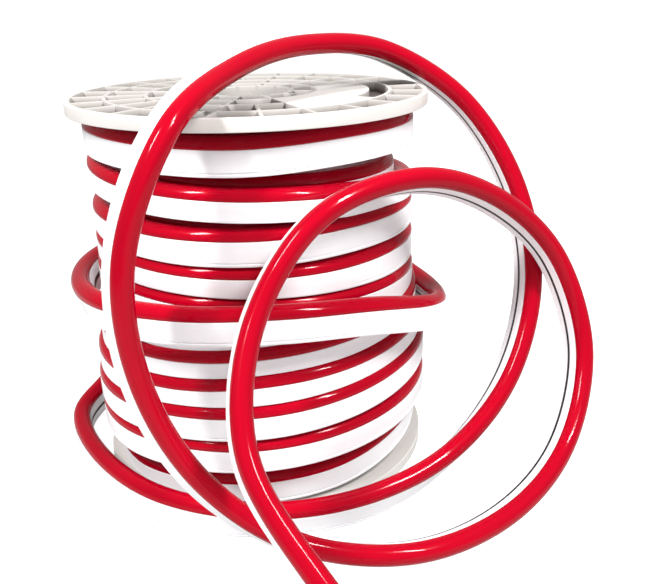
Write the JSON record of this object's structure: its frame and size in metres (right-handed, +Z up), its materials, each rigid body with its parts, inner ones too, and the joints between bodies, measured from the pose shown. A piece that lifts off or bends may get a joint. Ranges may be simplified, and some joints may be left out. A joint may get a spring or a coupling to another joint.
{
  "type": "led neon flex on a reel",
  "caption": "Flexible neon strip light with a rounded coloured diffuser, wound on a ribbed plastic reel, its outer end standing off in two loops.",
  "frame": {"origin": "on the reel's axis, on the surface that the reel stands on", "axes": "+Z up along the reel's axis; the free loops stand on the -Y side"},
  "size_m": [0.4196, 0.5484, 0.3297],
  "materials": {
    "reel_plastic": "moulded, warm white, satin",
    "flex_diffuser": "glossy translucent red dome over opaque white side walls",
    "flex_body": "opaque white, satin"
  },
  "bodies": {
    "root": {"flange_bottom": "reel_plastic", "flange_top": "reel_plastic", "barrel": "reel_plastic", "winding": "flex_diffuser", "loose_turn": "flex_diffuser", "free_length": "flex_diffuser"}
  },
  "joints": []
}
